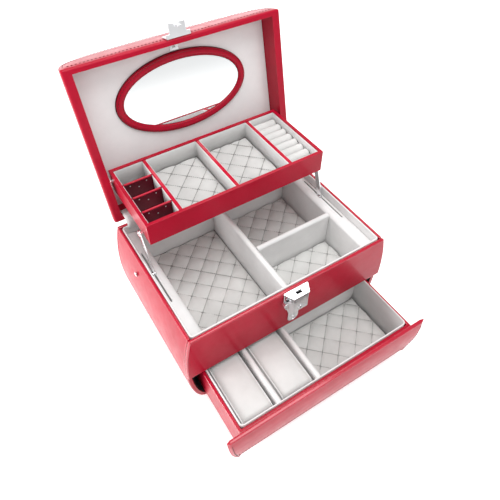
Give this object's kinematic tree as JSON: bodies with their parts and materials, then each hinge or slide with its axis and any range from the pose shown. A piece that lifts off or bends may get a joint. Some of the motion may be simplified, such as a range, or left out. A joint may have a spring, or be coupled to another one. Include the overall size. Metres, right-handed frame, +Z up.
{
  "type": "leather jewellery case",
  "caption": "Barrel-sided leather jewellery case with a hinged mirrored lid, a tray that rises on link arms, a front lock and a pull-out drawer.",
  "frame": {"origin": "centre of the base's flat underside", "axes": "+Z up, -Y towards the front with the lock and the drawer, +X to the case's right seen from the front"},
  "size_m": [0.279, 0.3675, 0.3398],
  "materials": {
    "leather": "smooth glossy crimson leather over board",
    "dark_leather": "dark burgundy leather",
    "suede": "pale grey suede cloth, padded and quilted",
    "cushion": "off-white plush cushion cloth",
    "black_cloth": "black lining cloth over board",
    "chrome": "polished chrome plate",
    "mirror": "silvered flat glass"
  },
  "bodies": {
    "case": {"base_side_right": "leather", "base_side_left": "leather", "base_back_panel": "leather", "base_front_panel": "leather", "base_bottom": "black_cloth", "mid_floor": "black_cloth", "base_lining": "suede", "side_wall_right": "suede", "side_wall_left": "suede", "rear_wall": "suede", "centre_divider": "suede", "cross_divider": "suede", "floor_pad_left": "suede", "floor_pad_rear": "suede", "floor_pad_front": "suede", "hinge_base_leaf_left": "chrome", "hinge_base_leaf_right": "chrome", "side_screw_right": "chrome", "side_screw_left": "chrome", "lock_base_plate": "chrome", "lock_case": "chrome"},
    "lid": {"lid_front_wall": "leather", "lid_back_wall": "leather", "lid_side_right": "leather", "lid_side_left": "leather", "lid_top": "leather", "lid_ceiling": "suede", "mirror_frame": "leather", "mirror_glass": "mirror", "lid_inner_plate": "chrome", "hasp_plate": "chrome", "hinge_lid_leaf_left": "chrome", "hinge_lid_leaf_right": "chrome", "tray_pivot_right": "chrome", "tray_pivot_left": "chrome"},
    "tray": {"tray_box": "leather", "tray_divider_1": "leather", "tray_divider_2": "leather", "tray_divider_3": "leather", "earring_panel_1": "dark_leather", "earring_panel_2": "dark_leather", "earring_panel_3": "dark_leather", "tray_pad_left": "suede", "tray_pad_right": "suede", "ring_rolls": "cushion", "arm_tray_pin_right": "chrome", "arm_tray_pin_left": "chrome"},
    "drawer": {"drawer_front": "leather", "drawer_box": "leather", "drawer_lining": "suede", "drawer_divider_1": "suede", "drawer_divider_2": "suede", "watch_cushion_1": "cushion", "watch_cushion_2": "cushion", "drawer_pad": "suede", "drawer_cross_wall": "suede"},
    "arm_right": {"link_arm_right": "chrome"},
    "arm_left": {"link_arm_left": "chrome"},
    "key": {"key_cylinder": "chrome"},
    "slider": {"lock_slider": "chrome"}
  },
  "joints": [
    {"name": "lid_hinge", "type": "hinge", "parent": "case", "child": "lid", "pos_m": [0, 0.0976, 0.142], "axis": [1, 0, 0], "range_deg": [0, 102.2]},
    {"name": "tray_level", "type": "hinge", "parent": "lid", "child": "tray", "pos_m": [0, 0.11583, 0.1932], "axis": [1, 0, 0], "range_deg": [-102.2, 0]},
    {"name": "arm_right_turn", "type": "hinge", "parent": "case", "child": "arm_right", "pos_m": [0.1199, 0.01477, 0.1293], "axis": [1, 0, 0], "range_deg": [0, 102.2]},
    {"name": "arm_left_turn", "type": "hinge", "parent": "case", "child": "arm_left", "pos_m": [-0.1199, 0.01477, 0.1293], "axis": [1, 0, 0], "range_deg": [0, 102.2]},
    {"name": "drawer_slide", "type": "slide", "parent": "case", "child": "drawer", "axis": [0, 1, 0], "range_m": [0, 0.084]},
    {"name": "key_turn", "type": "hinge", "parent": "case", "child": "key", "pos_m": [0, -0.105, 0.12], "axis": [0, 1, 0], "range_deg": [0, 90]},
    {"name": "catch_slide", "type": "slide", "parent": "case", "child": "slider", "axis": [0, 0, 1], "range_m": [-0.006, 0], "stiffness_N_per_m": 150}
  ],
  "couplings": [
    {"joint": "tray_level", "follows": "lid_hinge", "ratio": -1},
    {"joint": "arm_right_turn", "follows": "lid_hinge", "ratio": 1},
    {"joint": "arm_left_turn", "follows": "lid_hinge", "ratio": 1}
  ]
}
